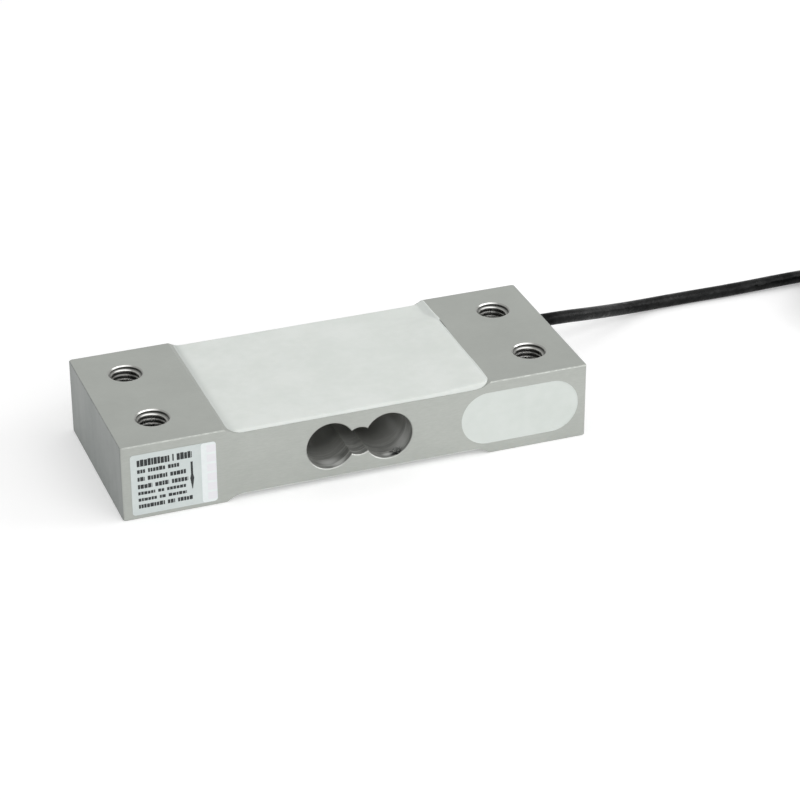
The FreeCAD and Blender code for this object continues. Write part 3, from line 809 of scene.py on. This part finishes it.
def coil_place(turn):
    """Radius and height at that many turns: four turns inwards below, then four outwards above."""
    whole = turn_radii[0] - turn_radii[1]
    inwards = sum(eased((turn - k + step_share) / step_share) for k in (1, 2, 3))
    rise = eased((turn - 4 + 2 * step_share) / step_share)
    outwards = sum(eased((turn - k + 3 * step_share) / step_share) for k in (5, 6, 7))
    r = turn_radii[0] - whole * (inwards - outwards)
    return r, layer_low + (layer_high - layer_low) * rise


def cable_route():
    """The free run, the coil's turns, then the tail that settles between the top turns."""
    route = [Vector(place) for place in run_route]
    route.append(Vector((206.0 * MM, lane_y, layer_low)))
    # A control point lies a little outside the circle that its curve follows
    grow = 1 / (0.75 + 0.25 * math.cos(FULL / turn_points))
    turn = 0.5 / turn_points
    while turn <= 8 - 3 * step_share:
        r, z = coil_place(turn)
        route.append(about_coil(r * grow, 90 - 360 * turn, z))
        turn += 1 / turn_points
    angle = (90 - 360 * turn) % 360
    top = layer_high + turn_pitch
    for inwards, share in climb:
        angle -= climb_step
        r = outer_turn_r - inwards * MM
        route.append(about_coil(r * grow, angle, layer_high + turn_pitch * share))
    for i in range(1, tail_points + 1):
        here = angle + (tail_end_angle - angle) * i / tail_points
        z = top + (tail_z - top) * eased(i / 4)
        route.append(about_coil(r + (tail_r - r) * eased(i / 3.33), here, z))
    return route


def off_tail(ahead, across, up):
    """A point beyond the cable's end: ahead along it, outwards across it, and up."""
    outward = Vector((0, 0, 1)).cross(tail_forward)
    return cable_end + tail_forward * ahead + outward * across + Vector((0, 0, up))


def lead_route(across, up, fan, heights, diameter):
    """A lead leaves the sleeve straight, then drops onto the turns and lies there, fanned out."""
    low = coil_top + diameter / 2
    route = [off_tail(sleeve_length - 2 * MM, across, up), off_tail(sleeve_length + 4 * MM, across, up)]
    start = route[-1] - coil_centre
    angle = math.degrees(math.atan2(start.y, start.x))
    r = math.hypot(start.x, start.y)
    for share, high in zip((0.28, 0.54, 0.78, 1.0), heights):
        here = r + (tail_r + fan - r) * share
        route.append(about_coil(here, angle - lead_sweep * share, low + high * (cable_end.z - low)))
    return route


cable = nurbs_curve("cable", [cable_route()], cable_d, "cable_jacket", 9)
cable.data.resolution_u = 6
tail_line = centreline(cable)
cable_end = tail_line[-1]
tail_forward = (tail_line[-1] - tail_line[-3]).normalized()
tail_forward.z = 0
tail_forward.normalize()


def past_jacket(outline):
    """A profile from points in mm: how far outside the jacket's skin, and how far along the cable."""
    return [(cable_r + out * MM, far * MM) for out, far in outline]


def make_sleeve():
    """A shrunk sleeve over the cable's end, drawn in a little round the leads."""
    outline = [(-0.3, -4.0), (0.15, -4.02), (0.3, -3.8), (0.33, -1.0), (0.3, 1.5), (0.05, 4.0), (-0.2, 6.5)]
    outline += [(-0.25, 8.6), (-0.4, 9.0), (-0.7, 9.0), (-0.75, 8.0)]
    return turned_piece("shrink_sleeve", past_jacket(outline), cable_end, tail_forward, "shrink_sleeve")


# A tinned tip, in mm: its radius and how far it is past the insulation's end
tip_outline = [(0.2, -0.5), (0.24, 0.0), (0.27, 0.6), (0.25, 2.2), (0.28, 3.6), (0.22, 4.6), (0.08, 4.95)]


def make_drain():
    """The shield's drain: five fine strands twisted round one line."""
    route = lead_route(0, 0, 0, (0.4, 0.05, 0.0, 0.0), 0.6 * MM)
    guide = nurbs_curve("drain_guide", [route], 0, "tinned_copper")
    line = centreline(guide)
    bpy.data.objects.remove(guide)
    count = 5
    strands = []
    for k in range(count):
        strand = []
        for i in range(0, len(line) - 1, 2):
            first, second = axes_about(line[i + 1] - line[i])
            a = FULL * (k / count + i * 0.045)
            strand.append(line[i] + (first * math.cos(a) + second * math.sin(a)) * 0.19 * MM)
        strands.append(strand)
    drain = nurbs_curve("shield_drain_wire", strands, 0.2 * MM, "tinned_copper", 2)
    drain.data.resolution_u = 3
    return join_root(drain, "tinned_copper", "shield_drain")


def make_leads():
    """Four insulated leads with tinned tips, fanned out over the coil, and the shield's drain."""
    off = 0.7 * MM
    fan = 2.7 * MM
    lower = (0.12, 0.0, 0.0, 0.0)
    upper = (0.95, 0.35, 0.0, 0.0)
    layout = {
        "red": (off, off, 2.4 * fan, upper),
        "black": (-off, off, -0.8 * fan, upper),
        "green": (-off, -off, -2.4 * fan, lower),
        "white": (off, -off, 0.8 * fan, lower),
    }
    profile = [(r * MM, far * MM) for r, far in tip_outline]
    made = []
    for colour, (across, up, spread, heights) in layout.items():
        route = lead_route(across, up, spread, heights, lead_d)
        lead = nurbs_curve("lead_wire_" + colour, [route], lead_d, "insulation_" + colour)
        join_root(lead, "insulation_" + colour, "lead_" + colour)
        along = (route[-1] - route[-2]).normalized()
        tip = turned_piece("lead_tip_" + colour, profile, route[-1], along, "tinned_copper", 20)
        join_root(tip, "tinned_copper", "lead_tips")
        made += [lead, tip]
    made.append(make_drain())
    return made


# The tie ribbon's section, as (across, up): flat, with its wire's low ridge down the middle
ribbon_section = ((-1, 0), (-1, 1), (-0.25, 1), (0, 1.7), (0.25, 1), (1, 1), (1, 0), (0, -0.4))
ribbon_t = 0.3 * MM
tie_room = 0.12 * MM
tie_angle = -65.0


def ribbon(name, places, widths, normals, width, closed):
    """A wired strip laid along places, with the direction of its width and its outer side at each."""
    rings = []
    for place, wide, out in zip(places, widths, normals):
        half, thick = (wide * width / 2, out * ribbon_t)
        rings.append([place + half * across + thick * up for across, up in ribbon_section])
    points, faces = bridge(rings, closed_path=closed)
    return join_root(soften(mesh_piece(name, points, faces, "tie_ribbon"), 50), "tie_ribbon")


def tie_end(number, foot, lean):
    """One of the two twisted ends, which part near their tips."""
    first, second = axes_about(lean)
    steps = 40
    places, widths, normals = ([], [], [])
    for i in range(steps + 1):
        share = i / steps
        a = math.pi * number + FULL * 2.6 * share
        apart = 0.45 * MM if share < 0.8 else (0.45 + 5 * (share - 0.8)) * MM
        side = first * math.cos(a) + second * math.sin(a)
        places.append(foot + lean * (11.2 * MM * share) + side * apart)
        normals.append(side)
        widths.append(lean.cross(side))
    return ribbon(f"tie_end_{number}", places, widths, normals, 2.0 * MM, False)


def make_tie():
    """A wired ribbon round all the turns, with its ends twisted together above them."""
    out = about_coil(1, tie_angle, 0) - coil_centre
    across = Vector((-out.y, out.x, 0))
    r_in, r_out = (turn_radii[3] - cable_r, turn_radii[0] + cable_r)
    middle_r = (r_in + r_out) / 2
    half_r = (r_out - r_in) / 2 + tie_room
    low, high = (layer_low - cable_r - tie_room, coil_top + tie_room)
    middle_z = (low + high) / 2
    half_z = (high - low) / 2
    bend = cable_r + tie_room
    steps = 10
    places, widths, normals = ([], [], [])
    for sx, sz, start in ((1, 1, 0), (-1, 1, 90), (-1, -1, 180), (1, -1, 270)):
        for i in range(steps + 1):
            a = math.radians(start + 90 * i / steps)
            x = sx * (half_r - bend) + bend * math.cos(a)
            z = sz * (half_z - bend) + bend * math.sin(a)
            places.append(coil_centre + out * (middle_r + x) + Vector((0, 0, middle_z + z)))
            widths.append(across)
            normals.append(out * math.cos(a) + Vector((0, 0, math.sin(a))))
    band = ribbon("tie_band", places, widths, normals, 3.2 * MM, True)
    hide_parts("coil_tie")
    foot = coil_centre + out * middle_r + Vector((0, 0, high + 0.1 * MM))
    lean = (out + Vector((0, 0, 0.85))).normalized()
    return [band, tie_end(0, foot, lean), tie_end(1, foot, lean)]


sleeve = make_sleeve()
join_root(sleeve, "shrink_sleeve", "end_sleeve")
join_root(cable, "cable_jacket", "cable_run", "cable_coil", "cable_tail")
on_cable = [sleeve, *make_leads(), *make_tie()]

# ---- Threads, silicone, label and bush ----


def make_thread(name, x, y):
    """The ridge of the thread, a helix down the hole, cut back by the mouth at each face."""
    steps = 56
    root = thread_r + 0.04 * MM
    flank = thread_crest_r + 0.37 * MM
    half_root, half_flank, half_crest = (0.64 * MM, 0.42 * MM, 0.2 * MM)
    section = [(root, -half_root), (flank, -half_flank), (thread_crest_r, -half_crest)]
    section += [(thread_crest_r, half_crest), (flank, half_flank), (root, half_root)]
    low = body_low.z + half_root
    turns = (body_high.z - half_root - low) / thread_pitch
    rings = []
    for i in range(int(turns * steps) + 1):
        a = FULL * i / steps
        z = low + thread_pitch * i / steps
        ring = []
        for r, up in section:
            depth = min(z + up - body_low.z, body_high.z - z - up)
            here = max(r, thread_r + thread_mouth - depth)
            ring.append((x + here * math.cos(a), y + here * math.sin(a), z + up))
        rings.append(ring)
    points, faces = bridge(rings)
    return soften(mesh_piece(name, points, faces, "thread"), 25)


for end, hole_x in (("load", load_hole_x), ("fixed", fixed_hole_x)):
    for side, y in (("front", -hole_y), ("back", hole_y)):
        join_root(make_thread(f"thread_{end}_{side}", hole_x, y), "body_aluminium")


def spread(count, length):
    """Positions from 0 to length, close together near both ends."""
    places = []
    for i in range(count + 1):
        s = i / count
        places.append(length * (0.35 * s + 0.65 * (0.5 - 0.5 * math.cos(math.pi * s))))
    return places


def relief_climb(x, depth):
    """How far the relief's round end stands above its floor at x."""
    run = math.sqrt(relief_end_r**2 - (relief_end_r - depth) ** 2)
    past = abs(x) - (relief_half - run)
    if past <= 0:
        return 0.0
    if past >= run:
        return depth
    return relief_end_r - math.sqrt(relief_end_r**2 - past**2)


silicone_grid = (150, 110)


def silicone_rows(depth, upper, seed):
    """Rows of (x, y, under side, upper side), with heights above the relief's floor."""
    level = 0.86 * MM
    rim = 1.0 * MM
    half_y = half_width - 0.22 * MM
    right = relief_half + (0.12 if upper else -1.0) * MM
    roof = depth + (0.12 if upper else -0.05) * MM
    fill_start = 22 * MM
    columns, rows = silicone_grid
    grid = []
    for v in spread(rows, 2 * half_y):
        y = v - half_y
        wave_y = 0.1 * MM * noise.noise(Vector((y * 90, seed, 0)))
        corner = (3.4 if y < 0 or not upper else 0.7) * MM
        past = max(abs(y) - (half_y - corner), 0.0)
        inset = corner - math.sqrt(max(corner**2 - past**2, 0.0))
        smear, filled = (0.0, 0.0)
        if upper:
            # Past the step in its right edge, the silicone reaches a little further and is filled less
            beyond = y / MM - 14.6
            smear = 0.6 * MM * eased(beyond / 0.8) * (1 - 0.6 * eased(beyond / 9))
            filled = (depth - level) * (1 - eased(beyond / 8))
        lo = silicone_left + inset + wave_y
        hi = right - inset + 2 * wave_y + smear
        row = []
        for u in spread(columns, hi - lo):
            x = lo + u
            edge_x = min(u, hi - x) + inset
            if past > 0 and edge_x < corner:
                edge = corner - math.hypot(corner - edge_x, past)
            else:
                edge = min(edge_x, half_y - abs(y))
            share = min(max(edge, 0.0) / rim, 1.0)
            round_rim = math.sqrt(max(1 - (1 - share) ** 2, 0.0))
            base = relief_climb(x, depth)
            fill = filled * eased((x - fill_start) / (relief_half - fill_start))
            swell = noise.noise(Vector((x * 55, y * 55, seed))) * 0.07 * MM
            swell += noise.noise(Vector((x * 190, y * 190, seed + 5))) * 0.015 * MM
            thinnest = (0.1 if x < 0 else 0.2) * MM
            thick = max(level + fill + swell - base, thinnest)
            row.append((x, y, base, min(base + thick * round_rim, roof)))
        grid.append(row)
    return grid


def make_silicone(name, floor, face, seed, stands_for):
    """Silicone spread over a relief: level in the middle, round at its rim, thin where it climbs the ends."""
    out = 1 if face > floor else -1
    grid = silicone_rows(abs(face - floor), out > 0, seed)
    points = []
    for side in (3, 2):
        for row in grid:
            points += [(place[0], place[1], floor + out * place[side]) for place in row]
    columns, rows = silicone_grid
    across = columns + 1
    below = across * (rows + 1)
    faces = []
    for i in range(rows):
        for j in range(columns):
            a = i * across + j
            quad = (a, a + 1, a + across + 1, a + across)
            faces.append(quad)
            faces.append(tuple(below + k for k in reversed(quad)))
    ring = list(range(columns))
    ring += [i * across + columns for i in range(rows)]
    ring += [rows * across + j for j in range(columns, 0, -1)]
    ring += [i * across for i in range(rows, 0, -1)]
    for a, b in zip(ring, ring[1:] + ring[:1]):
        faces.append((b, a, below + a, below + b))
    if out < 0:
        faces = [tuple(reversed(face)) for face in faces]
    join_root(mesh_piece(name, points, faces, "sealant_silicone"), "sealant_silicone", stands_for)


make_silicone("silicone_top", top_floor, body_high.z, 3.0, "top_sealant")
make_silicone("silicone_bottom", bottom_floor, body_low.z, 11.0, "bottom_sealant")


def obround_ring(r, half_straight):
    """Points round a slot-shaped outline, as (along, up) about its centre."""
    steps = 40
    points = []
    for side in (1, -1):
        for i in range(steps):
            points.append((side * (2 * half_straight * i / steps - half_straight), side * r))
        for i in range(steps):
            a = math.pi * (side / 2 - i / steps)
            points.append((side * half_straight + r * math.cos(a), r * math.sin(a)))
    return points


# How far each ring of the potting's skin lies inside its rim, in mm
potting_insets = (0.0, 0.12, 0.3, 0.55, 0.9, 1.4, 2.0, 2.8, 3.7, 4.7, 5.8, 7.0, 8.2)


def make_potting(name, side, seed, stands_for):
    """Potting that fills a pocket, drawn up a little at the rim and not quite level inside it."""
    r = pocket_height / 2 - 0.01 * MM
    half_straight = (pocket_end_x - pocket_start_x) / 2 - pocket_height / 2
    centre_x = (pocket_start_x + pocket_end_x) / 2
    skin = half_width - 0.1 * MM
    rings = [[(centre_x + x, side * pocket_floor, pocket_z + z) for x, z in obround_ring(r, half_straight)]]
    for inset in potting_insets:
        ring = []
        for along, up in obround_ring(r - inset * MM, half_straight):
            x, z = (centre_x + along, pocket_z + up)
            rise = 0.085 * MM * math.exp(-inset / 0.45)
            swell = noise.noise(Vector((x * 110, z * 110, seed))) * 0.045 * MM
            ring.append((x, side * (skin + rise + swell * min(inset / 1.5, 1.0)), z))
        rings.append(ring)
    points, faces = bridge(rings)
    if side < 0:
        faces = [tuple(reversed(face)) for face in faces]
    piece = soften(mesh_piece(name, points, faces, "potting_silicone"), 60)
    join_root(piece, "potting_silicone", stands_for)


make_potting("potting_front", -1, 21.0, "front_potting")
make_potting("potting_rear", 1, 27.0, "rear_potting")


plate_t = 0.02 * MM


def plate(name, outline, y, finish):
    """A thin flat plate facing -Y. outline holds (x, z) in mm, anticlockwise as seen from the front."""
    rings = [[(x * MM, y - out, z * MM) for x, z in outline] for out in (0.0, plate_t)]
    points, faces = bridge(rings)
    return mesh_piece(name, points, faces, finish, smooth=False)


def rounded_box(x0, x1, z0, z1, r, steps=5):
    """The outline of a box with round corners, anticlockwise, all in mm."""
    corners = [(x1 - r, z0 + r, -90), (x1 - r, z1 - r, 0), (x0 + r, z1 - r, 90), (x0 + r, z0 + r, 180)]
    outline = []
    for cx, cz, start in corners:
        for i in range(steps + 1):
            a = math.radians(start + 90 * i / steps)
            outline.append((cx + r * math.cos(a), cz + r * math.sin(a)))
    return outline


def join_pieces(name, pieces):
    """Several meshes as one piece."""
    points, faces = ([], [])
    for piece in pieces:
        base = len(points)
        points += [v.co.copy() for v in piece.data.vertices]
        faces += [tuple(base + i for i in face.vertices) for face in piece.data.polygons]
    finish = pieces[0].data.materials[0].name
    for piece in pieces:
        bpy.data.objects.remove(piece)
    return mesh_piece(name, points, faces, finish, smooth=False)


# The label's lines, in mm: their height above the floor, how tall they are, and their words' lengths
label_lines = [
    (17.8, 2.5, (10.2, 0.6, 4.8)),
    (15.5, 1.5, (2.6, 5.4, 3.6)),
    (12.8, 1.6, (2.4, 6.2, 5.0)),
    (10.2, 1.6, (4.6, 4.4, 5.2)),
    (8.1, 1.2, (5.4, 2.0, 6.0)),
    (5.9, 1.2, (5.8, 2.0, 5.8)),
    (3.5, 1.5, (8.2, 2.4, 5.0)),
]
lines_x = -70.1
strip_x = -50.3
arrow_x = -53.3


def make_bars(y):
    """Each line of the label as rows of plain bars, a little uneven, with gaps where words part."""
    rng = random.Random(17)
    bars = []
    for z, tall, words in label_lines:
        x = lines_x
        for word in words:
            end = x + word
            while x < end - 0.3:
                wide = min(rng.uniform(0.75, 1.25), end - x)
                trim = rng.uniform(0.0, 0.12) * tall
                outline = rounded_box(x, x + wide - 0.16, z + 0.1, z + tall - trim, 0.09, 2)
                bars.append(plate("bar", outline, y, "label_ink"))
                x += wide
            x = end + 0.75
    join_root(join_pieces("label_bars", bars), "label_film")


def make_print():
    """The label's light strip with faint tints on it, bars for its lines and an arrow for the load."""
    film = label_low.y
    y = film + 0.004 * MM
    right, low, high = (label_high.x / MM, label_low.z / MM, label_high.z / MM)
    strip = rounded_box(strip_x, right - 0.05, low + 0.05, high - 0.05, 0.9)
    join_root(plate("label_strip", strip, y, "label_strip"), "label_film")
    tints = []
    for row in range(6):
        x = strip_x + 1.75
        z = low + 0.9 + 3.25 * row
        outline = rounded_box(x, x + 2.9, z, z + 2.5, 0.3)
        tints.append(plate("tint", outline, film - 0.012 * MM, "label_tint"))
    join_root(join_pieces("label_tints", tints), "label_film")
    make_bars(y)
    sides = [(0.1, 7.2), (0.62, 10.9), (0.34, 12.2), (0.34, 16.5)]
    arrow = [(arrow_x + half, z) for half, z in sides] + [(arrow_x - half, z) for half, z in reversed(sides)]
    join_root(plate("label_arrow", arrow, y, "label_ink"), "label_film")


def make_bush():
    """A moulded rubber bush: a domed flange outside the body, a barrel in its wall, a lip round the cable."""
    outline = [(0.01, -2.8), (0.84, -2.8), (0.84, 0.0), (2.1, 0.0), (2.1, 0.35), (1.98, 0.62), (1.7, 0.82)]
    outline += [(0.95, 0.92), (0.6, 1.0), (0.42, 1.16), (0.13, 1.2), (0.01, 1.1)]
    place = (body_high.x, cable_y, cable_z)
    return turned_ring("bush", past_jacket(outline), place, (1, 0, 0), "bush_rubber")


make_print()
join_root(make_bush(), "bush_rubber", "cable_bush")


def make_floor():
    far = floor_half
    points = [(-far, -far, 0), (far, -far, 0), (far, far, 0), (-far, far, 0)]
    floor = mesh_piece("floor", points, [(0, 1, 2, 3)], "floor_white", smooth=False)
    floor.location.z = body_low.z


make_floor()
make_world()
for lamp in lamps:
    make_lamp(*lamp)
make_camera()
bpy.context.scene.view_settings.view_transform = "Standard"
